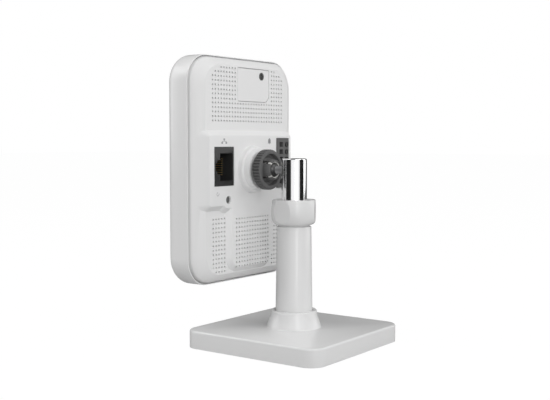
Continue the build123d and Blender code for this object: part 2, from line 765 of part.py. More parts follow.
with BuildPart() as lens_barrel:
    revolve(turned(lens_plane, [
        (33.2, 3.6),
        (33.2, 5.9),
        (39.0, 5.9),
        (39.0, 8.4),
        (front_depth + 0.3, 8.4),
        (front_depth + 0.3, 7.6),
        (front_depth - 0.7, 6.4),
        (40.2, 6.4),
        (40.2, 3.6),
    ]), axis=lens_axis)
finish(lens_barrel, "lens_barrel")

glass_curve = 14.0
glass_tip = front_depth - 0.2


def on_glass(radius):
    """Point on the front glass's crown, at a radius from the lens axis."""
    return (glass_tip - glass_curve + sqrt(glass_curve ** 2 - radius ** 2), radius)


with BuildPart() as lens_front_glass:
    with BuildSketch(lens_plane):
        with BuildLine():
            Polyline((glass_tip, 0), (40.4, 0), (40.4, 6.3), on_glass(6.3))
            ThreePointArc(on_glass(6.3), on_glass(3.2), (glass_tip, 0))
        make_face()
    revolve(axis=lens_axis)
finish(lens_front_glass, "lens_front_glass")

with BuildPart() as lens_rear_glass:
    add(upright_disc((0, lens_z), 3.5, 34.0, 37.0))
finish(lens_rear_glass, "lens_rear_glass")

with BuildPart() as lens_holder:
    add(upright_box((0, lens_z), (15.6, 15.6), 31.0, 38.6))
    add(upright_disc((0, lens_z), 6.0, 33.2, 40), mode=Mode.SUBTRACT)
    add(upright_box((0, lens_z), (9.6, 9.6), 30, 33.6), mode=Mode.SUBTRACT)
finish(lens_holder, "lens_holder")

with BuildPart() as ir_cut_filter:
    add(upright_box((0, lens_z), (7.0, 7.0), 32.5, 32.9))
finish(ir_cut_filter, "ir_cut_filter")

with BuildPart() as image_sensor:
    add(upright_box((0, lens_z), (8.4, 8.4), 31.0, 32.0))
finish(image_sensor, "image_sensor")

with BuildPart() as sensor_board:
    add(upright_box((0, lens_z), (21.0, 21.0), 29.8, 31.0))
finish(sensor_board, "sensor_board")

with BuildPart() as sensor_ribbon:
    add(upright_box((-12.6, lens_z), (4.2, 8.0), 30.6, 30.9))
    add(upright_box((-14.6, lens_z), (0.3, 8.0), 30.6, board_back - 0.3))
    add(upright_box((-16.4, lens_z), (3.9, 8.0), board_back - 0.3, board_back))
finish(sensor_ribbon, "sensor_ribbon")
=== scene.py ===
"""Looks of the desk security camera: an add-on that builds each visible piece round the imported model."""
import json
from math import cos, pi, radians, sin

import bpy
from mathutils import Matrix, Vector


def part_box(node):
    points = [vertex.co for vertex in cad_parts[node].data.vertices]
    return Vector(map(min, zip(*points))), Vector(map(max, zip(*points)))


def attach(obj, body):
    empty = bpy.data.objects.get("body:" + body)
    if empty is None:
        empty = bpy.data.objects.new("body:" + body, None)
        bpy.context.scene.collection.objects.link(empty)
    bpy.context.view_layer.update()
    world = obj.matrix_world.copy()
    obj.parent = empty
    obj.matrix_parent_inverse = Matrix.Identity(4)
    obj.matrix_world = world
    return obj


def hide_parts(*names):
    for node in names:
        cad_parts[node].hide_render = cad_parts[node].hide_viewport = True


bl_info = {
    "name": "Desk Security Camera",
    "version": (1, 0, 0),
    "blender": (4, 5, 0),
    "location": "View3D > Sidebar > Desk Camera",
    "description": "Builds the stand, the ball joint, the shells and the finishes of a desk security camera",
    "category": "Object",
}

MM = 0.001
MERGE = 0.03 * MM

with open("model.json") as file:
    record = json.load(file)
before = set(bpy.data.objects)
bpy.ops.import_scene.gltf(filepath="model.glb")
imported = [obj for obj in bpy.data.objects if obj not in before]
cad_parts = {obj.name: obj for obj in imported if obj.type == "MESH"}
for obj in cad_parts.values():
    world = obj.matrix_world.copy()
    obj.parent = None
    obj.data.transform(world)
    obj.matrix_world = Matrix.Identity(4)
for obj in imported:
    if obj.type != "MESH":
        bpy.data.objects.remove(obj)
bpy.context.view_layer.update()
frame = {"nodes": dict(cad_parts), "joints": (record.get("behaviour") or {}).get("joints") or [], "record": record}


# ---- Places taken from the frame --------------------------------------------------------

def middle(node):
    """Centre of a node's box."""
    low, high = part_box(node)
    return (low + high) / 2


JOINTS = {joint["name"]: joint for joint in frame["joints"]}
BALL = Vector(JOINTS["head_tilt"]["pos_m"])


# ---- Settings ---------------------------------------------------------------------------

def length(name, text, value):
    """Length property in metres."""
    return bpy.props.FloatProperty(
        name=name, description=text, default=value, unit="LENGTH", subtype="DISTANCE")


def colour(name, text, value):
    """Colour property."""
    return bpy.props.FloatVectorProperty(
        name=name, description=text, default=value, size=3, min=0.0, max=1.0, subtype="COLOR")


class DESKCAM_PG_sizes(bpy.types.PropertyGroup):
    """Sizes a user may change before building."""
    base_edge: length("Base top edge", "Rounding of the base's top edge", 0.9 * MM)
    front_edge: length("Front edge", "Rounding of the front shell's face edge", 5.0 * MM)
    nut_ribs: bpy.props.IntProperty(
        name="Nut ribs", description="Ribs round the lock nut", default=40, min=12)
    rib_depth: length("Rib depth", "Depth of the grooves between the ribs", 0.65 * MM)
    round_steps: bpy.props.IntProperty(
        name="Round steps", description="Facets round each turned piece", default=96, min=24)


class DESKCAM_PG_colours(bpy.types.PropertyGroup):
    """Colours of the finishes."""
    gloss_white: colour("Front white", "Front shell", (0.93, 0.93, 0.93))
    satin_white: colour("Back white", "Back shell and card cover", (0.6, 0.6, 0.605))
    stand_white: colour("Stand white", "Base, column and collar", (0.54, 0.54, 0.545))
    dark_grey: colour("Dark grey", "Lock nut, collet and connectors", (0.04, 0.04, 0.041))
    print_grey: colour("Print grey", "Printed signs beside the connectors", (0.33, 0.33, 0.34))


def sizes():
    """The sizes set in the sidebar."""
    return bpy.context.scene.deskcam_sizes


def colours():
    """The colours set in the sidebar."""
    return bpy.context.scene.deskcam_colours


# ---- Modelling helpers ------------------------------------------------------------------

def take(obj):
    """Deselect everything, then select one object and make it active."""
    for other in bpy.context.selected_objects:
        other.select_set(False)
    obj.select_set(True)
    bpy.context.view_layer.objects.active = obj
    return obj


def name_piece(name):
    """Name the object that was just added, with its mesh."""
    obj = bpy.context.active_object
    obj.name = name
    obj.data.name = name
    return take(obj)


def clear_selection():
    """Nothing selected, ready for a new primitive."""
    for other in bpy.context.selected_objects:
        other.select_set(False)


def set_in_place():
    """Put the active object's place, turn and scale into its mesh."""
    bpy.ops.object.transform_apply(location=True, rotation=True, scale=True)


def pick_faces(obj, test):
    """In edit mode, select just the faces whose centre and normal pass the test."""
    bpy.ops.mesh.select_mode(type="FACE")
    bpy.ops.mesh.select_all(action="DESELECT")
    bpy.ops.object.mode_set(mode="OBJECT")
    for face in obj.data.polygons:
        face.select = test(face.center, face.normal)
    bpy.ops.object.mode_set(mode="EDIT")


def pick_edges(obj, test):
    """In edit mode, select just the edges whose two ends pass the test."""
    bpy.ops.mesh.select_mode(type="EDGE")
    bpy.ops.mesh.select_all(action="DESELECT")
    bpy.ops.object.mode_set(mode="OBJECT")
    points = obj.data.vertices
    for edge in obj.data.edges:
        edge.select = test(points[edge.vertices[0]].co, points[edge.vertices[1]].co)
    bpy.ops.object.mode_set(mode="EDIT")


def close_up():
    """In edit mode, merge doubled points and turn every face outwards."""
    bpy.ops.mesh.select_all(action="SELECT")
    bpy.ops.mesh.remove_doubles(threshold=MERGE)
    bpy.ops.mesh.normals_make_consistent(inside=False)


def apply_modifier(obj, kind, **settings):
    """Add a modifier with these settings and apply it."""
    take(obj)
    modifier = obj.modifiers.new(kind.lower(), kind)
    for key, value in settings.items():
        setattr(modifier, key, value)
    bpy.ops.object.modifier_apply(modifier=modifier.name)


def shade(obj, angle=35):
    """Shade a piece smooth, with edges sharper than an angle in degrees kept sharp."""
    take(obj)
    bpy.ops.object.shade_smooth_by_angle(angle=radians(angle))


def soften(obj, width, segments=2, angle=30):
    """Round every edge sharper than an angle, then shade the piece smooth."""
    apply_modifier(obj, "BEVEL", width=width, segments=segments, limit_method="ANGLE",
                   angle_limit=radians(angle), harden_normals=False)
    shade(obj)
    apply_modifier(obj, "WEIGHTED_NORMAL", mode="FACE_AREA", weight=50, keep_sharp=True)


def cut_with(obj, cutter):
    """Take the cutter's shape out of a piece and delete the cutter."""
    apply_modifier(obj, "BOOLEAN", operation="DIFFERENCE", object=cutter, solver="EXACT")
    bpy.data.objects.remove(cutter)


def lathe(name, profile, place=(0, 0, 0), forwards=False, steps=None):
    """Turned piece from (height, radius) points in metres; a closed profile ends where it began.

    With forwards the heights are depths towards the lens, along -Y.
    """
    clear_selection()
    tiny = 0.01 * MM
    steps = steps or sizes().round_steps
    heights = [point[0] for point in profile]
    radii = [max(point[1], tiny) for point in profile]
    bpy.ops.mesh.primitive_circle_add(vertices=steps, radius=radii[0], location=(0, 0, heights[0]))
    obj = name_piece(name)
    set_in_place()
    bpy.ops.object.mode_set(mode="EDIT")
    bpy.ops.mesh.select_all(action="SELECT")
    for index in range(1, len(profile)):
        rise = heights[index] - heights[index - 1]
        bpy.ops.mesh.extrude_edges_move(TRANSFORM_OT_translate={"value": (0, 0, rise)})
        share = radii[index] / radii[index - 1]
        bpy.ops.transform.resize(value=(share, share, 1), center_override=(0, 0, heights[index]))
    close_up()
    bpy.ops.object.mode_set(mode="OBJECT")
    obj.rotation_euler = (pi / 2, 0, 0) if forwards else (0, 0, 0)
    obj.location = place
    set_in_place()
    return obj


def arc(height, radius, bend, start, stop, points=5):
    """Points of an arc in a turned profile: centre (height, radius), bend radius, angles in degrees."""
    turns = [radians(start + (stop - start) * index / (points - 1)) for index in range(points)]
    return [(height + bend * sin(turn), radius + bend * cos(turn)) for turn in turns]


def block(name, low, high):
    """Box between two corners."""
    clear_selection()
    low, high = Vector(low), Vector(high)
    bpy.ops.mesh.primitive_cube_add(size=1, location=(low + high) / 2, scale=high - low)
    obj = name_piece(name)
    set_in_place()
    return obj


def peg(name, centre, radius, depth, steps=32):
    """Round bar along Y, as a cutter or a start."""
    clear_selection()
    bpy.ops.mesh.primitive_cylinder_add(
        vertices=steps, radius=radius, depth=depth, location=centre, rotation=(pi / 2, 0, 0))
    obj = name_piece(name)
    set_in_place()
    return obj


# ---- Finishes ---------------------------------------------------------------------------

def new_group(name, inputs, outputs):
    """Shader node group with named sockets; returns the group, its input node and its output node."""
    group = bpy.data.node_groups.new(name, "ShaderNodeTree")
    for label, kind, value in inputs:
        socket = group.interface.new_socket(name=label, in_out="INPUT", socket_type=kind)
        socket.default_value = value
    for label, kind in outputs:
        group.interface.new_socket(name=label, in_out="OUTPUT", socket_type=kind)
    return group, group.nodes.new("NodeGroupInput"), group.nodes.new("NodeGroupOutput")


def link(tree, source, target):
    """Join two sockets of a node tree."""
    tree.links.new(source, target)


def math_node(tree, operation, first, second=None):
    """Math node whose inputs are sockets or numbers; returns its output socket."""
    node = tree.nodes.new("ShaderNodeMath")
    node.operation = operation
    for socket, value in zip(node.inputs, (first, second)):
        if value is None:
            continue
        if isinstance(value, (int, float)):
            socket.default_value = value
        else:
            link(tree, value, socket)
    return node.outputs[0]


def noise(tree, place, scale, detail=3.0):
    """Noise texture on a vector socket; returns its factor socket."""
    node = tree.nodes.new("ShaderNodeTexNoise")
    node.inputs["Detail"].default_value = detail
    link(tree, place, node.inputs["Vector"])
    if isinstance(scale, (int, float)):
        node.inputs["Scale"].default_value = scale
    else:
        link(tree, scale, node.inputs["Scale"])
    return node.outputs["Fac"]


def moulded_group():
    """Moulded plastic: a fine grain, a slow drift in tone and a slightly uneven gloss."""
    group, source, sink = new_group(
        "moulded_plastic",
        [("Colour", "NodeSocketColor", (0.8, 0.8, 0.8, 1)), ("Drift", "NodeSocketFloat", 0.03),
         ("Grain scale", "NodeSocketFloat", 4000.0), ("Grain depth", "NodeSocketFloat", 0.1),
         ("Gloss", "NodeSocketFloat", 0.3), ("Gloss drift", "NodeSocketFloat", 0.1)],
        [("Colour", "NodeSocketColor"), ("Roughness", "NodeSocketFloat"), ("Normal", "NodeSocketVector")])
    place = group.nodes.new("ShaderNodeTexCoord").outputs["Object"]
    slow = math_node(group, "SUBTRACT", noise(group, place, 45.0, 4.0), 0.5)
    tone = group.nodes.new("ShaderNodeHueSaturation")
    link(group, source.outputs["Colour"], tone.inputs["Color"])
    link(group, math_node(group, "ADD", math_node(group, "MULTIPLY", slow, source.outputs["Drift"]), 1.0),
         tone.inputs["Value"])
    smudge = math_node(group, "SUBTRACT", noise(group, place, 160.0, 5.0), 0.5)
    rough = math_node(group, "ADD", math_node(group, "MULTIPLY", smudge, source.outputs["Gloss drift"]),
                      source.outputs["Gloss"])
    grain = noise(group, place, source.outputs["Grain scale"], 2.0)
    bump = group.nodes.new("ShaderNodeBump")
    bump.inputs["Distance"].default_value = 0.02 * MM
    link(group, source.outputs["Grain depth"], bump.inputs["Strength"])
    link(group, grain, bump.inputs["Height"])
    link(group, tone.outputs["Color"], sink.inputs["Colour"])
    link(group, rough, sink.inputs["Roughness"])
    link(group, bump.outputs["Normal"], sink.inputs["Normal"])
    return group


def metal_group():
    """Metal with fine turning or brushing lines across the chosen direction."""
    group, source, sink = new_group(
        "worked_metal",
        [("Colour", "NodeSocketColor", (0.8, 0.8, 0.8, 1)), ("Line stretch", "NodeSocketVector", (1, 1, 1)),
         ("Line scale", "NodeSocketFloat", 3000.0), ("Line depth", "NodeSocketFloat", 0.1),
         ("Gloss", "NodeSocketFloat", 0.2)],
        [("Colour", "NodeSocketColor"), ("Roughness", "NodeSocketFloat"), ("Normal", "NodeSocketVector")])
    place = group.nodes.new("ShaderNodeTexCoord").outputs["Object"]
    stretch = group.nodes.new("ShaderNodeVectorMath")
    stretch.operation = "MULTIPLY"
    link(group, place, stretch.inputs[0])
    link(group, source.outputs["Line stretch"], stretch.inputs[1])
    lines = noise(group, stretch.outputs[0], source.outputs["Line scale"], 3.0)
    cloud = math_node(group, "SUBTRACT", noise(group, place, 220.0, 3.0), 0.5)
    tone = group.nodes.new("ShaderNodeHueSaturation")
    link(group, source.outputs["Colour"], tone.inputs["Color"])
    link(group, math_node(group, "ADD", math_node(group, "MULTIPLY", cloud, 0.12), 1.0), tone.inputs["Value"])
    rough = math_node(group, "ADD", math_node(group, "MULTIPLY", cloud, 0.08), source.outputs["Gloss"])
    bump = group.nodes.new("ShaderNodeBump")
    bump.inputs["Distance"].default_value = 0.01 * MM
    link(group, source.outputs["Line depth"], bump.inputs["Strength"])
    link(group, lines, bump.inputs["Height"])
    link(group, tone.outputs["Color"], sink.inputs["Colour"])
    link(group, rough, sink.inputs["Roughness"])
    link(group, bump.outputs["Normal"], sink.inputs["Normal"])
    return group


def material(name, group, values, **shader_values):
    """Material whose Principled shader takes colour, roughness and normal from a group placed with values."""
    if name in bpy.data.materials:
        return bpy.data.materials[name]
    made = bpy.data.materials.new(name)
    made.use_nodes = True
    tree = made.node_tree
    shader = tree.nodes["Principled BSDF"]
    detail = tree.nodes.new("ShaderNodeGroup")
    detail.node_tree = group
    for label, value in values.items():
        detail.inputs[label].default_value = value
    link(tree, detail.outputs["Colour"], shader.inputs["Base Color"])
    link(tree, detail.outputs["Roughness"], shader.inputs["Roughness"])
    link(tree, detail.outputs["Normal"], shader.inputs["Normal"])
    for label, value in shader_values.items():
        shader.inputs[label.replace("_", " ")].default_value = value
    return made


def opaque(rgb):
    """Colour with full alpha."""
    return (rgb[0], rgb[1], rgb[2], 1.0)


def plastic(name, rgb, gloss, grain, scale=4000.0, drift=0.03, **shader_values):
    """Moulded plastic of a colour, gloss and grain depth."""
    group = bpy.data.node_groups.get("moulded_plastic") or moulded_group()
    return material(name, group, {
        "Colour": opaque(rgb), "Gloss": gloss, "Grain depth": grain, "Grain scale": scale,
        "Drift": drift, "Gloss drift": gloss * 0.25}, **shader_values)


def metal(name, rgb, gloss, stretch, depth=0.15, scale=3000.0):
    """Bare or plated metal with fine lines."""
    group = bpy.data.node_groups.get("worked_metal") or metal_group()
    return material(name, group, {
        "Colour": opaque(rgb), "Gloss": gloss, "Line stretch": stretch, "Line depth": depth,
        "Line scale": scale}, Metallic=1.0)


def finish_for(slot):
    """The finish of each material slot in the record."""
    shades = colours()
    makers = {
        "gloss_white": lambda: plastic("gloss_white", shades.gloss_white, 0.16, 0.03, 2500.0, 0.015,
                                       Coat_Weight=0.4, Coat_Roughness=0.06),
        "satin_white": lambda: plastic("satin_white", shades.satin_white, 0.42, 0.35, 5200.0),
        "stand_white": lambda: plastic("stand_white", shades.stand_white, 0.3, 0.06, 3000.0, 0.02,
                                       Coat_Weight=1.0, Coat_Roughness=0.1, Coat_IOR=1.7),
        "dark_grey": lambda: plastic("dark_grey", shades.dark_grey, 0.38, 0.4, 4500.0, 0.2),
        "black_plastic": lambda: plastic("black_plastic", (0.008, 0.008, 0.009), 0.1, 0.02, 2500.0, 0.1,
                                         Coat_Weight=0.5, Coat_Roughness=0.04),
        "chrome_plate": lambda: metal("chrome_plate", (0.86, 0.86, 0.87), 0.06, (1, 1, 0.05), 0.02),
        "steel": lambda: metal("steel", (0.55, 0.55, 0.56), 0.28, (1, 1, 1), 0.2),
        "black_steel": lambda: metal("black_steel", (0.07, 0.07, 0.075), 0.32, (1, 1, 1), 0.2),
        # The contacts' gold is darkened far below gold's own colour: painted shade, standing for the shade deep
        # inside the network socket where they sit.
        "gold_contact": lambda: metal("gold_contact", (0.1, 0.075, 0.045), 0.5, (1, 0.1, 1), 0.1),
        "natural_acetal": lambda: plastic("natural_acetal", (0.72, 0.70, 0.66), 0.35, 0.1, 4000.0),
        "soft_pad": lambda: plastic("soft_pad", (0.02, 0.02, 0.02), 0.75, 0.8, 2500.0, 0.3),
        "circuit_board": lambda: plastic("circuit_board", (0.012, 0.10, 0.045), 0.3, 0.2, 1500.0, 0.5),
        "clear_glass": lambda: plastic("clear_glass", (0.3, 0.32, 0.36), 0.03, 0.0, 1000.0, 0.0,
                                       Transmission_Weight=1.0, IOR=1.52),
        "clear_plastic": lambda: plastic("clear_plastic", (0.92, 0.93, 0.93), 0.08, 0.02, 1000.0, 0.0,
                                         Transmission_Weight=0.9, IOR=1.49),
        "frosted_white": lambda: plastic("frosted_white", (0.80, 0.80, 0.78), 0.4, 0.1, 3000.0, 0.03,
                                         Subsurface_Weight=0.2),
        "heat_aluminium": lambda: metal("heat_aluminium", (0.62, 0.63, 0.64), 0.35, (1, 1, 0.1), 0.3),
        "label_black": lambda: plastic("label_black", (0.02, 0.02, 0.022), 0.5, 0.3, 3000.0, 0.2),
    }
    return makers[slot]()


def dress(obj, slot):
    """Give a new piece the finish of a slot."""
    obj.data.materials.clear()
    obj.data.materials.append(finish_for(slot))


def settle(obj, body, slot, *nodes):
    """Dress a finished piece, let it ride on its body and stand for its nodes."""
    dress(obj, slot)
    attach(obj, body)
    if nodes:
        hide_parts(*nodes)


class DESKCAM_OT_finishes(bpy.types.Operator):
    """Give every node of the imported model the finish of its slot, with joined and smoothly shaded faces"""
    bl_idname = "deskcam.finishes"
    bl_label = "Finish the packed nodes"

    def execute(self, context):
        slots = {part["node"]: part["material_slot"] for part in frame["record"]["subparts"]}
        for name, obj in frame["nodes"].items():
            obj.data.materials.clear()
            obj.data.materials.append(finish_for(slots[name]))
            for face in obj.data.polygons:
                face.use_smooth = True
            weld = obj.modifiers.new("weld", "WELD")
            weld.merge_threshold = 0.001 * MM
            split = obj.modifiers.new("split", "EDGE_SPLIT")
            split.split_angle = radians(22)
            split.use_edge_sharp = False
        return {"FINISHED"}


# ---- Stand ------------------------------------------------------------------------------

class DESKCAM_OT_base(bpy.types.Operator):
    """Model the square base with its flare round the column's foot"""
    bl_idname = "deskcam.base"
    bl_label = "Model the base"

    def execute(self, context):
        low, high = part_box("base_cover")
        top = 8.2 * MM
        base = block("base_plate", low, (high.x, high.y, top))
        bpy.ops.object.mode_set(mode="EDIT")
        pick_edges(base, lambda a, b: abs(a.z - b.z) > 1 * MM)
        bpy.ops.mesh.bevel(offset=7.0 * MM, segments=14)
        pick_faces(base, lambda centre, normal: normal.z > 0.9)
        bpy.ops.mesh.region_to_loop()
        bpy.ops.mesh.bevel(offset=sizes().base_edge, segments=5)
        pick_faces(base, lambda centre, normal: normal.z < -0.9)
        bpy.ops.mesh.inset(thickness=0.25 * MM)
        bpy.ops.mesh.inset(thickness=1.95 * MM)
        bpy.ops.mesh.extrude_region_move(TRANSFORM_OT_translate={"value": (0, 0, 5.9 * MM)})
        close_up()
        bpy.ops.object.mode_set(mode="OBJECT")
        foot, rim, mouth = 12.1 * MM, 10.3 * MM, 8.45 * MM
        flare = lathe("flare", [
            (top - 1.2 * MM, 2.2 * MM), (top - 1.2 * MM, foot + 0.9 * MM), (top, foot + 0.9 * MM),
            (top + 0.1 * MM, foot + 0.35 * MM), (top + 0.4 * MM, foot + 0.08 * MM),
            (top + 1.0 * MM, foot - 0.12 * MM), (top + 2.2 * MM, foot - 0.5 * MM),
            (high.z - 1.8 * MM, rim - 0.02 * MM), (high.z - 0.9 * MM, rim),
            (high.z - 0.3 * MM, rim - 0.15 * MM), (high.z, rim - 0.5 * MM), (high.z, mouth + 0.3 * MM),
            (high.z - 0.3 * MM, mouth), (top + 1.2 * MM, mouth), (top + 1.2 * MM, 2.2 * MM),
            (top - 1.2 * MM, 2.2 * MM)])
        apply_modifier(base, "BOOLEAN", operation="UNION", object=flare, solver="EXACT")
        bpy.data.objects.remove(flare)
        shade(base)
        base.name = "square_base"
        settle(base, "stand", "stand_white", "base_cover")
        return {"FINISHED"}


class DESKCAM_OT_column(bpy.types.Operator):
    """Model the tapering column with its threaded head and keyed bore"""
    bl_idname = "deskcam.column"
    bl_label = "Model the column"

    def execute(self, context):
        low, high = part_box("column")
        foot, head, neck, bore = 8.3 * MM, 7.7 * MM, 7.1 * MM, 5.95 * MM
        shoulder = 53.2 * MM
        outline = [(low.z, 1.65 * MM), (low.z, foot), (shoulder - 0.4 * MM, head),
                   (shoulder - 0.1 * MM, head - 0.1 * MM), (shoulder, head - 0.35 * MM),
                   (shoulder, neck - 0.25 * MM)]
        for turn in range(5):
            start = shoulder + 0.8 * MM + turn * 1.2 * MM
            outline += [(start, neck - 0.25 * MM), (start + 0.3 * MM, neck), (start + 0.6 * MM, neck),
                        (start + 0.9 * MM, neck - 0.25 * MM)]
        outline += [(high.z, neck - 0.25 * MM), (high.z, bore), (low.z + 5 * MM, bore),
                    (low.z + 5 * MM, 1.65 * MM), (low.z, 1.65 * MM)]
        column = lathe("tapered_column", outline)
        keyway = block("keyway", (-1.1 * MM, -6.7 * MM, low.z + 5 * MM),
                       (1.1 * MM, 6.7 * MM, low.z + 43 * MM))
        cut_with(column, keyway)
        shade(column)
        settle(column, "stand", "stand_white", "column")
        return {"FINISHED"}


class DESKCAM_OT_collar(bpy.types.Operator):
    """Model the barrel-shaped collar nut with its three gripping flats"""
    bl_idname = "deskcam.collar"
    bl_label = "Model the collar nut"

    def execute(self, context):
        low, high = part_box("collar_nut")
        wide = 10.3 * MM
        # height above the foot and how far the barrel draws in there, both in mm
        bends = ((0.0, 2.5), (0.12, 2.1), (0.35, 1.65), (0.62, 1.32), (0.95, 1.05), (1.35, 0.8),
                 (1.8, 0.6), (2.35, 0.42), (3.0, 0.27), (3.8, 0.13), (4.8, 0.03), (5.8, 0.0),
                 (6.9, 0.04), (7.9, 0.12), (8.7, 0.22), (9.5, 0.36), (10.2, 0.5), (10.7, 0.6),
                 (10.92, 0.68), (11.05, 0.82), (11.1, 1.05))
        barrel = [(low.z + rise * MM, wide - loss * MM) for rise, loss in bends]
        mouth = [(high.z, wide - 2.0 * MM), (high.z - 0.7 * MM, wide - 2.4 * MM),
                 (high.z - 1.0 * MM, 6.1 * MM), (high.z - 1.7 * MM, 6.1 * MM),
                 (high.z - 1.7 * MM, 7.18 * MM), (low.z, 7.18 * MM)]
        collar = lathe("collar_ring", barrel + mouth + barrel[:1])
        for turn in (0, 120, 240):
            flat = block("flat", (9.35 * MM, -12 * MM, low.z - 1 * MM), (14 * MM, 12 * MM, high.z + 1 * MM))
            bpy.ops.transform.rotate(value=radians(turn), orient_axis="Z", center_override=(0, 0, 0))
            cut_with(collar, flat)
        soften(collar, 0.14 * MM, 2, 19)
        settle(collar, "collar", "stand_white", "collar_nut")
        return {"FINISHED"}


class DESKCAM_OT_post(bpy.types.Operator):
    """Model the plated post with its rounded top and the hole for the ball stud"""
    bl_idname = "deskcam.post"
    bl_label = "Model the post"

    def execute(self, context):
        low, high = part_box("post")
        wide, spigot, bore = 5.65 * MM, 4.6 * MM, 4.2 * MM
        top = arc(high.z - 0.7 * MM, wide - 0.7 * MM, 0.7 * MM, 0, 90, 6)
        post = lathe("plated_post", [
            (low.z, 1.5 * MM), (low.z, spigot), (low.z + 6 * MM, spigot), (low.z + 6 * MM, wide)] + top + [
            (high.z, 0), (low.z + 48 * MM, 0), (low.z + 48 * MM, bore), (low.z + 9 * MM, bore),
            (low.z + 9 * MM, 1.5 * MM), (low.z, 1.5 * MM)])
        cut_with(post, peg("stud_hole", (0, -3.5 * MM, BALL.z), 2.0 * MM, 12 * MM))
        shade(post)
        settle(post, "mast", "chrome_plate", "post")
        return {"FINISHED"}


# ---- Ball joint -------------------------------------------------------------------------

class DESKCAM_OT_ball_joint(bpy.types.Operator):
    """Model the ball stud and the slotted collet that grips it"""
    bl_idname = "deskcam.ball_joint"
    bl_label = "Model the ball joint"

    def execute(self, context):
        axis = (0, 0, BALL.z)
        centre, ball = -BALL.y, 3.7 * MM
        neck = 1.7 * MM
        round_ball = arc(centre, 0, ball, -60, 90, 20)
        stud = lathe("ball_stud_piece", [(-2.4 * MM, 0), (-2.4 * MM, 1.95 * MM), (5.05 * MM, 1.95 * MM),
                                         (6.0 * MM, neck + 0.3 * MM), (7.0 * MM, neck)] + round_ball,
                     axis, forwards=True, steps=64)
        shade(stud)
        settle(stud, "mast", "steel", "ball_stud")
        stud.data.materials.append(finish_for("black_steel"))
        for face in stud.data.polygons:
            if (face.center - BALL).length < ball + 0.1 * MM:
                face.material_index = 1

        socket = 4.35 * MM
        tip = centre - 2.3 * MM
        mouth = (socket ** 2 - (centre - tip) ** 2) ** 0.5
        hub, waist, stem = 4.95 * MM, 5.6 * MM, 6.3 * MM
        inner = [(centre + socket * cos(turn), socket * sin(turn))
                 for turn in [radians(index * 10) for index in range(13)]]
        inner = [spot for spot in inner if spot[0] > tip + 0.1 * MM]
        collet = lathe("slotted_collet", [
            (tip, mouth), (tip, mouth + 0.55 * MM), (tip + 0.3 * MM, mouth + 0.85 * MM),
            (centre, hub), (centre + 1.2 * MM, hub), (centre + 1.9 * MM, waist),
            (centre + 2.4 * MM, waist), (centre + 3.2 * MM, stem),
            (25.2 * MM, stem), (25.2 * MM, 8.6 * MM), (27.2 * MM, 8.6 * MM), (27.2 * MM, 0)]
            + inner + [(tip, mouth)], axis, forwards=True, steps=80)
        for index in range(4):
            slot = block("slot", (1.7 * MM, -tip - 6.3 * MM, -0.65 * MM), (10 * MM, -tip + 1 * MM, 0.65 * MM))
            bpy.ops.transform.rotate(
                value=radians(45 + 90 * index), orient_axis="Y", center_override=(0, 0, 0))
            bpy.ops.transform.translate(value=(0, 0, BALL.z))
            cut_with(collet, slot)
        shade(collet)
        settle(collet, "head", "dark_grey", "socket_collet")
        return {"FINISHED"}


class DESKCAM_OT_lock_nut(bpy.types.Operator):
    """Model the ribbed lock nut round the collet"""
    bl_idname = "deskcam.lock_nut"
    bl_label = "Model the lock nut"

    def execute(self, context):
        wide, stem = 9.1 * MM, 6.38 * MM
        near, far = 12.6 * MM, 16.7 * MM
        ribs = sizes().nut_ribs
        outline = [(far, stem), (far, wide - 0.5 * MM), (far - 0.5 * MM, wide), (far - 0.8 * MM, wide),
                   (near + 0.8 * MM, wide), (near + 0.55 * MM, wide - 0.05 * MM),
                   (near + 0.2 * MM, wide - 0.3 * MM),
                   (near + 0.03 * MM, wide - 0.6 * MM), (near, wide - 0.8 * MM), (near, wide - 1.75 * MM),
                   (near + 0.06 * MM, wide - 1.87 * MM), (near + 0.2 * MM, wide - 1.93 * MM),
                   (near + 2.0 * MM, wide - 2.2 * MM), (near + 2.0 * MM, 5.75 * MM),
                   (near + 2.2 * MM, 5.75 * MM),
                   (near + 3.0 * MM, stem), (far, stem)]
        nut = lathe("ribbed_nut", outline, (0, 0, BALL.z), forwards=True, steps=ribs * 4)
        bpy.ops.object.mode_set(mode="EDIT")
        bpy.ops.mesh.select_mode(type="VERT")
        bpy.ops.mesh.select_all(action="DESELECT")
        bpy.ops.object.mode_set(mode="OBJECT")
        for point in nut.data.vertices:
            across, along = point.co.z - BALL.z, point.co.x
            reach = (across ** 2 + along ** 2) ** 0.5
            turn = Vector((along, across)).angle_signed(Vector((1, 0)), 0) / (2 * pi) * ribs
            between = abs(turn - round(turn)) < 0.1
            point.select = between and reach > wide - 0.2 * MM
        bpy.ops.object.mode_set(mode="EDIT")
        share = 1 - sizes().rib_depth / wide
        bpy.ops.transform.resize(value=(share, 1, share), center_override=(0, 0, BALL.z))
        bpy.ops.object.mode_set(mode="OBJECT")
        shade(nut, 28)
        settle(nut, "lock_nut", "dark_grey", "knurled_nut")
        return {"FINISHED"}


# ---- Head -------------------------------------------------------------------------------

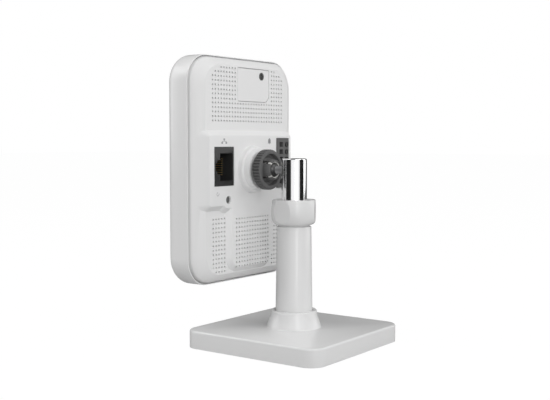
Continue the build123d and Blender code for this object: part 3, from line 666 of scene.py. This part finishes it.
class DESKCAM_OT_front_shell(bpy.types.Operator):
    """Model the rounded front shell, hollow, with the holes of its face"""
    bl_idname = "deskcam.front_shell"
    bl_label = "Model the front shell"

    def execute(self, context):
        low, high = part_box("front_shell")
        shell = block("front_case", low, high)
        bpy.ops.object.mode_set(mode="EDIT")
        pick_edges(shell, lambda a, b: abs(a.y - b.y) > 1 * MM)
        bpy.ops.mesh.bevel(offset=12.5 * MM, segments=20)
        pick_faces(shell, lambda centre, normal: normal.y < -0.9)
        bpy.ops.mesh.region_to_loop()
        bpy.ops.mesh.bevel(offset=sizes().front_edge, segments=10)
        pick_faces(shell, lambda centre, normal: normal.y > 0.9)
        bpy.ops.mesh.region_to_loop()
        bpy.ops.mesh.bevel(offset=0.28 * MM, segments=4)
        pick_faces(shell, lambda centre, normal: normal.y > 0.99)
        for inset, inwards in ((0.1, 1.8), (1.62, 6.7), (1.5, 2.5)):
            bpy.ops.mesh.inset(thickness=inset * MM)
            bpy.ops.mesh.extrude_region_move(TRANSFORM_OT_translate={"value": (0, -inwards * MM, 0)})
        close_up()
        bpy.ops.object.mode_set(mode="OBJECT")
        face = low.y
        for centre, radius, depth in (
                ((0, 97.0), 15.1, 1.4), ((0, 97.0), 10.0, 8.0), ((0, 46.0), 8.2, 8.0), ((0, 70.0), 4.1, 8.0),
                ((0, 60.5), 1.3, 8.0), ((9.0, 60.5), 0.6, 8.0)):
            place = (centre[0] * MM, face, centre[1] * MM)
            cut_with(shell, peg("hole", place, radius * MM, 2 * depth * MM, 64))
        shade(shell)
        settle(shell, "head", "gloss_white", "front_shell")
        return {"FINISHED"}


class DESKCAM_OT_card_cover(bpy.types.Operator):
    """Model the cover over the card slot with its clipped corner and sunk screw"""
    bl_idname = "deskcam.card_cover"
    bl_label = "Model the card cover"

    def execute(self, context):
        low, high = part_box("card_cover")
        cover = block("card_lid", low, high)
        half = middle("card_cover").z

        def upright(a, b):
            return abs(a.y - b.y) > 0.5 * MM

        bpy.ops.object.mode_set(mode="EDIT")
        pick_edges(cover, lambda a, b: upright(a, b) and a.x < low.x + MERGE and a.x < 0 and a.z < half)
        bpy.ops.mesh.bevel(offset=2.4 * MM, segments=1)
        pick_edges(cover, lambda a, b: upright(a, b) and (a.x > high.x - MERGE or a.z > high.z - MERGE))
        bpy.ops.mesh.bevel(offset=0.65 * MM, segments=4)
        close_up()
        bpy.ops.object.mode_set(mode="OBJECT")
        spot = middle("cover_screw")
        cut_with(cover, peg("sink", (spot.x, high.y, spot.z), 1.85 * MM, 1.4 * MM, 48))
        cut_with(cover, peg("hole", (spot.x, high.y, spot.z), 1.0 * MM, 6 * MM, 32))
        soften(cover, 0.12 * MM, 2, 40)
        settle(cover, "head", "satin_white", "card_cover")
        return {"FINISHED"}


class DESKCAM_OT_connectors(bpy.types.Operator):
    """Model the network socket with its stepped mouth and the terminal with its six ways"""
    bl_idname = "deskcam.connectors"
    bl_label = "Model the connectors"

    def execute(self, context):
        low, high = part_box("lan_jack")
        jack = block("network_socket", low, high)
        face = high.y
        right, row = low.x, 79.4 * MM
        steps = ((0.8, 9.35, 12.1, 12.0), (8.5, 11.25, 6.2, 9.0), (10.0, 12.35, 3.6, 9.0))
        for near, far, tall, deep in steps:
            mouth = block("mouth", (right + near * MM, face - deep * MM, row - tall * MM / 2),
                          (right + far * MM, face + 1 * MM, row + tall * MM / 2))
            cut_with(jack, mouth)
        soften(jack, 0.12 * MM, 2)
        settle(jack, "head", "black_plastic", "lan_jack")

        low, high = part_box("alarm_terminal")
        terminal = block("alarm_block", low, high)
        centre = (low + high) / 2
        for index in range(6):
            row = centre.z + (index - 2.5) * 3.5 * MM
            entry = block("entry", (centre.x, high.y - 7 * MM, row - 1.15 * MM),
                          (centre.x + 2.8 * MM, high.y + 1 * MM, row + 1.15 * MM))
            cut_with(terminal, entry)
            well = peg("well", (centre.x - 2.9 * MM, high.y, row), 1.25 * MM, 6 * MM, 32)
            cut_with(terminal, well)
        soften(terminal, 0.1 * MM, 2)
        settle(terminal, "head", "dark_grey", "alarm_terminal")
        return {"FINISHED"}


class DESKCAM_OT_front_lenses(bpy.types.Operator):
    """Model the lens bezel, barrel and glass, the motion dome and the light window"""
    bl_idname = "deskcam.front_lenses"
    bl_label = "Model the front lenses"

    def execute(self, context):
        front = 43.0
        axis = (0, 0, 97.0 * MM)

        def scaled(points):
            return [(along * MM, radius * MM) for along, radius in points]

        bezel = lathe("bezel_ring", scaled([
            (front - 1.3, 8.6), (front - 1.3, 15.0), (front + 0.1, 15.0), (front + 0.35, 14.9),
            (front + 0.6, 14.6), (front + 0.7, 14.2), (front + 0.65, 13.6), (front + 0.25, 9.9),
            (front + 0.1, 9.5), (front - 0.6, 8.6), (front - 1.3, 8.6)]), axis, forwards=True)
        shade(bezel)
        settle(bezel, "head", "black_plastic", "lens_bezel")

        barrel = lathe("lens_tube", scaled([
            (33.2, 3.6), (33.2, 5.9), (39.0, 5.9), (39.0, 8.4), (43.2, 8.4), (43.3, 8.3), (43.3, 7.7),
            (43.2, 7.55), (42.9, 7.3), (42.9, 7.1), (42.6, 7.0), (42.6, 6.75), (42.3, 6.65), (42.3, 6.4),
            (40.2, 6.4), (40.2, 3.6), (33.2, 3.6)]), axis, forwards=True)
        shade(barrel, 30)
        settle(barrel, "head", "black_plastic", "lens_barrel")

        bend = 14.0
        crown = [(front - 0.2 - bend + (bend ** 2 - (6.3 * index / 9) ** 2) ** 0.5, 6.3 * index / 9)
                 for index in range(9, -1, -1)]
        glass = lathe("front_glass", scaled([(40.4, 0), (40.4, 6.3)] + crown), axis, forwards=True)
        shade(glass)
        settle(glass, "head", "clear_glass", "lens_front_glass")

        reach, wide, wall = 3.4, 8.0, 0.8
        curve = (wide ** 2 + reach ** 2) / (2 * reach)
        heart = front + reach - curve

        def dome(bend, radius):
            return (heart + (bend ** 2 - radius ** 2) ** 0.5, radius)

        outside = [dome(curve, wide * index / 12) for index in range(13)]
        inside = [dome(curve - wall, (wide - wall) * index / 12) for index in range(12, -1, -1)]
        skirt = [(front - 2.1, wide), (front - 2.1, wide + 1.2), (front - 2.7, wide + 1.2),
                 (front - 2.7, wide - wall)]
        cap = lathe("motion_dome", scaled(outside + skirt + inside), (0, 0, 46.0 * MM), forwards=True)
        shade(cap)
        settle(cap, "head", "frosted_white", "motion_lens")

        window = lathe("light_pane", scaled([
            (front - 2.9, 0), (front - 2.9, 4.8), (front - 2.1, 4.8), (front - 2.1, 4.0), (front - 0.35, 4.0),
            (front - 0.15, 3.9), (front - 0.1, 3.7), (front - 0.1, 0)]),
            (0, 0, 70.0 * MM), forwards=True, steps=64)
        shade(window)
        settle(window, "head", "clear_plastic", "light_window")
        return {"FINISHED"}


def stick(parts, name):
    """Join small flat pieces into one printed sign, dressed and riding on the head."""
    for other in bpy.context.selected_objects:
        other.select_set(False)
    for part in parts:
        part.select_set(True)
    bpy.context.view_layer.objects.active = parts[0]
    bpy.ops.object.join()
    sign = name_piece(name)
    sign.data.materials.clear()
    sign.data.materials.append(plastic("printed_grey", colours().print_grey, 0.55, 0.2))
    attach(sign, "head")
    return sign


class DESKCAM_OT_signs(bpy.types.Operator):
    """Print plain signs beside the socket, the terminal and the reset button"""
    bl_idname = "deskcam.signs"
    bl_label = "Print the signs"

    def execute(self, context):
        back, lift = -23.3 * MM, 0.02 * MM

        def tile(x, z, wide, tall):
            return block("tile", ((x - wide / 2) * MM, back - lift, (z - tall / 2) * MM),
                         ((x + wide / 2) * MM, back + lift, (z + tall / 2) * MM))

        x, z = 20.3, 91.0
        stick([tile(x, z + 0.62, 1.1, 0.8), tile(x, z + 0.02, 0.2, 0.5), tile(x, z - 0.2, 3.0, 0.2),
               tile(x - 1.4, z - 0.42, 0.2, 0.35), tile(x + 1.4, z - 0.42, 0.2, 0.35),
               tile(x - 1.4, z - 0.9, 1.1, 0.8), tile(x + 1.4, z - 0.9, 1.1, 0.8)], "network_sign")

        x, z = -13.0, 91.0
        bell = lathe("bell", [(-lift, 0), (-lift, 0.95 * MM), (lift, 0.95 * MM), (lift, 0)],
                     (x * MM, back, (z + 0.2) * MM), forwards=True, steps=32)
        stick([bell, tile(x, z - 0.45, 1.9, 1.2), tile(x, z - 1.05, 2.6, 0.22), tile(x, z - 1.4, 0.6, 0.26),
               tile(x, z + 1.2, 0.3, 0.3)], "bell_sign")

        x, z = 24.8, 67.6
        ring = lathe("ring", [(-lift, 0.62 * MM), (-lift, 0.82 * MM), (lift, 0.82 * MM), (lift, 0.62 * MM),
                              (-lift, 0.62 * MM)], (x * MM, back, z * MM), forwards=True, steps=40)
        cut_with(ring, block("gap", ((x - 1) * MM, back - 1 * MM, (z + 0.1) * MM),
                             ((x - 0.1) * MM, back + 1 * MM, (z + 1) * MM)))
        head = tile(x - 0.72, z + 0.1, 0.5, 0.5)
        bpy.ops.object.mode_set(mode="EDIT")
        pick_edges(head, lambda a, b: max(a.z, b.z) > (z + 0.3) * MM and abs(a.x - b.x) > 0.4 * MM)
        bpy.ops.transform.resize(value=(0.1, 1, 1), center_override=((x - 0.72) * MM, 0, 0))
        bpy.ops.object.mode_set(mode="OBJECT")
        stick([ring, head], "restart_sign")
        return {"FINISHED"}


# ---- Stage ------------------------------------------------------------------------------

VIEW_TURN = radians(36.21)
AIM = Vector((0, 0, 0.06))


def round_place(turn, distance, height):
    """Place at an angle in degrees to the right of the view, at a distance and height."""
    angle = VIEW_TURN + radians(turn)
    return Vector((cos(angle) * distance, sin(angle) * distance, height))


def soft_light(name, place, width, height, power, target=AIM):
    """Rectangular studio light aimed at a point."""
    data = bpy.data.lights.new(name, "AREA")
    data.shape = "RECTANGLE"
    data.size, data.size_y, data.energy = width, height, power
    lamp = bpy.data.objects.new(name, data)
    bpy.context.scene.collection.objects.link(lamp)
    lamp.location = place
    lamp.rotation_euler = (Vector(target) - Vector(place)).to_track_quat("-Z", "Y").to_euler()
    return lamp


def dark_flag(name, turn, distance, width, height):
    """Upright black card that only shiny surfaces see."""
    clear_selection()
    place = round_place(turn, distance, height / 2)
    facing = VIEW_TURN + radians(turn) - pi / 2
    bpy.ops.mesh.primitive_plane_add(size=1, location=place, rotation=(pi / 2, 0, facing))
    flag = name_piece(name)
    flag.scale = (width, height, 1)
    set_in_place()
    flag.data.materials.append(plastic("black_card", (0.01, 0.01, 0.01), 0.9, 0.0, 500.0, 0.0))
    flag.visible_camera = False
    flag.visible_diffuse = False
    flag.visible_shadow = False


def seen_white(tree, plain, white, target):
    """Choose the white shader for camera rays and the plain one for all others."""
    path = tree.nodes.new("ShaderNodeLightPath")
    choice = tree.nodes.new("ShaderNodeMixShader")
    link(tree, path.outputs["Is Camera Ray"], choice.inputs["Fac"])
    link(tree, plain, choice.inputs[1])
    link(tree, white, choice.inputs[2])
    link(tree, choice.outputs[0], target)


def paper_floor():
    """Pale floor material that stays close to white where the camera looks."""
    made = plastic("floor_paper", (0.4, 0.4, 0.4), 0.7, 0.0, 800.0, 0.0)
    tree = made.node_tree
    shader = tree.nodes["Principled BSDF"]
    glow = tree.nodes.new("ShaderNodeEmission")
    glow.inputs["Strength"].default_value = 1.04
    paper = tree.nodes.new("ShaderNodeMixShader")
    paper.inputs["Fac"].default_value = 0.95
    link(tree, shader.outputs[0], paper.inputs[1])
    link(tree, glow.outputs[0], paper.inputs[2])
    seen_white(tree, shader.outputs[0], paper.outputs[0], tree.nodes["Material Output"].inputs["Surface"])
    return made


class DESKCAM_OT_stage(bpy.types.Operator):
    """Add the pale floor, the soft lights, the dark cards, the surroundings and the camera"""
    bl_idname = "deskcam.stage"
    bl_label = "Set the stage"

    def execute(self, context):
        scene = context.scene
        clear_selection()
        bpy.ops.mesh.primitive_plane_add(size=12.0, location=(0, 0, -0.05 * MM))
        floor = name_piece("floor")
        set_in_place()
        floor.data.materials.append(paper_floor())

        world = bpy.data.worlds.new("studio")
        world.use_nodes = True
        tree = world.node_tree
        seen = tree.nodes["Background"]
        seen.inputs["Color"].default_value = (1, 1, 1, 1)
        seen.inputs["Strength"].default_value = 1.0
        around = tree.nodes.new("ShaderNodeBackground")
        around.inputs["Color"].default_value = (0.95, 0.95, 0.95, 1)
        around.inputs["Strength"].default_value = 0.16
        seen_white(tree, around.outputs[0], seen.outputs[0], tree.nodes["World Output"].inputs["Surface"])
        scene.world = world

        soft_light("front", round_place(10, 0.8, 0.34), 1.28, 0.68, 2.5, Vector((0, 0, 0.33)))
        soft_light("strip", round_place(16, 0.75, 0.32), 0.16, 0.64, 1.3, Vector((0, 0, 0.3)))
        soft_light("right", round_place(108, 0.8, 0.4), 0.5, 0.7, 1.8)
        soft_light("left", round_place(-95, 0.8, 0.4), 0.5, 0.7, 2.8)
        soft_light("upper_right", round_place(60, 0.6, 0.8), 0.5, 0.5, 2.5)
        soft_light("upper_left", round_place(-80, 0.5, 0.9), 0.4, 0.4, 1.3)
        dark_flag("left_card", -57, 0.5, 0.43, 0.4)
        dark_flag("right_card", 72, 0.5, 0.39, 0.4)
        scene.view_settings.view_transform = "Standard"

        tilt = radians(3.617)
        look = Vector((-cos(VIEW_TURN) * cos(tilt), -sin(VIEW_TURN) * cos(tilt), -sin(tilt)))
        data = bpy.data.cameras.new("camera")
        data.lens, data.sensor_width = 60.35, 36.0
        data.clip_start, data.clip_end = 0.01, 20.0
        camera = bpy.data.objects.new("camera", data)
        scene.collection.objects.link(camera)
        camera.location = (0.3348, 0.2346, 0.0906)
        camera.rotation_euler = look.to_track_quat("-Z", "Y").to_euler()
        scene.camera = camera
        return {"FINISHED"}


# ---- Add-on -----------------------------------------------------------------------------

OPERATORS = (
    DESKCAM_OT_finishes, DESKCAM_OT_base, DESKCAM_OT_column, DESKCAM_OT_collar, DESKCAM_OT_post,
    DESKCAM_OT_ball_joint, DESKCAM_OT_lock_nut, DESKCAM_OT_front_shell, DESKCAM_OT_card_cover,
    DESKCAM_OT_connectors, DESKCAM_OT_front_lenses, DESKCAM_OT_signs, DESKCAM_OT_stage)


class DESKCAM_PT_panel(bpy.types.Panel):
    """Sidebar panel with the camera's settings and building steps"""
    bl_label = "Desk Camera"
    bl_idname = "DESKCAM_PT_panel"
    bl_space_type = "VIEW_3D"
    bl_region_type = "UI"
    bl_category = "Desk Camera"

    def draw(self, context):
        column = self.layout.column()
        for group in (sizes(), colours()):
            for key in group.__annotations__:
                column.prop(group, key)
        for operator in OPERATORS:
            column.operator(operator.bl_idname)


CLASSES = (DESKCAM_PG_sizes, DESKCAM_PG_colours) + OPERATORS + (DESKCAM_PT_panel,)


def register():
    """Register the classes and hang the settings on the scene."""
    for item in CLASSES:
        bpy.utils.register_class(item)
    bpy.types.Scene.deskcam_sizes = bpy.props.PointerProperty(type=DESKCAM_PG_sizes)
    bpy.types.Scene.deskcam_colours = bpy.props.PointerProperty(type=DESKCAM_PG_colours)


def unregister():
    """Take the settings and the classes away again."""
    del bpy.types.Scene.deskcam_colours
    del bpy.types.Scene.deskcam_sizes
    for item in reversed(CLASSES):
        bpy.utils.unregister_class(item)


def main():
    """Register the add-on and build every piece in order."""
    register()
    for operator in OPERATORS:
        area, action = operator.bl_idname.split(".")
        if getattr(getattr(bpy.ops, area), action)() != {"FINISHED"}:
            raise RuntimeError(operator.bl_label + " didn't finish")


if __name__ == "__main__":
    main()
